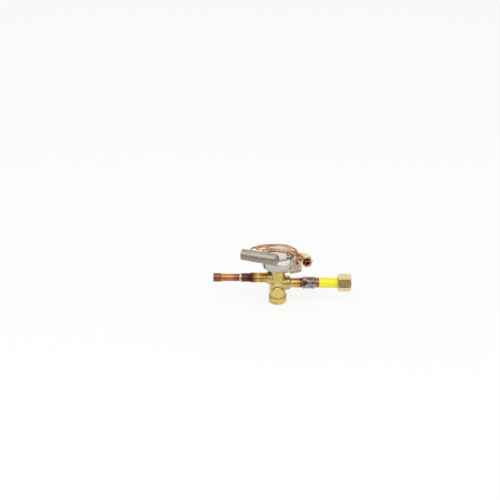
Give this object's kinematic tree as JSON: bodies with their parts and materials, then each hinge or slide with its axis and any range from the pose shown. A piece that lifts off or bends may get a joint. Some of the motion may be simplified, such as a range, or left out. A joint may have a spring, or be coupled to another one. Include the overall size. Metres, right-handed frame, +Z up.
{
  "type": "thermostatic expansion valve",
  "caption": "Refrigerant expansion valve with a round power head, remote sensing bulb on a coiled capillary, swivel-nut inlet, brazed outlet and an equalizer tube.",
  "frame": {"origin": "centre of the seal cap's flat base, on the valve's main axis", "axes": "+Z up the main axis to the power head, +X towards the inlet nut, -Y towards the front plug"},
  "size_m": [0.1763, 0.0617, 0.0843],
  "materials": {
    "forged_brass": "forged, bright dipped",
    "turned_brass": "turned",
    "nut_brass": "turned, pale",
    "gasket_fibre": "plain",
    "seal_rubber": "plain",
    "stem_steel": "ground",
    "spring_steel": "drawn wire",
    "strainer_steel": "perforated sheet",
    "head_stainless": "pressed stainless sheet",
    "bulb_stainless": "brushed lengthwise",
    "copper": "drawn copper, heat tinted at the joints",
    "braze_alloy": "solidified braze",
    "plated_steel": "bright plated",
    "label_yellow": "vinyl wrap"
  },
  "bodies": {
    "valve": {"valve_body": "forged_brass", "front_plug": "turned_brass", "cap_gasket": "gasket_fibre", "packing_gland": "turned_brass", "stem_seal": "seal_rubber", "seat_insert": "stem_steel", "rod_seal": "seal_rubber", "head_lower_cup": "head_stainless", "head_upper_cup": "head_stainless", "diaphragm": "head_stainless", "capillary_tube": "copper", "sensing_bulb": "bulb_stainless", "inlet_stub": "copper", "inlet_body_braze": "braze_alloy", "inlet_braze": "braze_alloy", "inlet_tail_tube": "copper", "inlet_strainer": "strainer_steel", "identification_label": "label_yellow", "outlet_stub": "copper", "outlet_body_braze": "braze_alloy", "outlet_braze": "braze_alloy", "outlet_tube": "copper", "equalizer_fitting": "plated_steel", "equalizer_tube": "copper"},
    "inlet_swivel": {"inlet_nut": "nut_brass"},
    "equalizer_swivel": {"equalizer_nut": "nut_brass"},
    "pin_stack": {"pin_carrier": "turned_brass", "valve_pin": "stem_steel", "push_rods": "stem_steel", "buffer_plate": "turned_brass", "superheat_spring": "spring_steel"},
    "stem": {"adjusting_stem": "stem_steel"},
    "seat_nut": {"spring_seat": "turned_brass"},
    "cap": {"seal_cap": "turned_brass"}
  },
  "joints": [
    {"name": "inlet_nut_turn", "type": "hinge", "parent": "valve", "child": "inlet_swivel", "pos_m": [0.0854, 0, 0.0274], "axis": [1, 0, 0], "continuous": true},
    {"name": "equalizer_nut_turn", "type": "hinge", "parent": "valve", "child": "equalizer_swivel", "pos_m": [0.0381, -0.013, 0.0629], "axis": [0.3007, -0.9537, 0], "continuous": true},
    {"name": "pin_stroke", "type": "slide", "parent": "valve", "child": "pin_stack", "axis": [0, 0, -1], "range_m": [0, 0.0008], "stiffness_N_per_m": 500, "springref_m": -0.004, "deforming": ["superheat_spring", "diaphragm"]},
    {"name": "adjusting_turn", "type": "hinge", "parent": "valve", "child": "stem", "pos_m": [0, 0, 0.0141], "axis": [0, 0, 1], "range_deg": [-900, 900]},
    {"name": "seat_nut_travel", "type": "slide", "parent": "valve", "child": "seat_nut", "axis": [0, 0, 1], "range_m": [-0.002, 0.002]},
    {"name": "seal_cap_travel", "type": "slide", "parent": "valve", "child": "cap", "axis": [0, 0, -1], "range_m": [0, 0.014]}
  ],
  "couplings": [
    {"joint": "adjusting_turn", "follows": "seat_nut_travel", "rad_per_m": 7854}
  ]
}
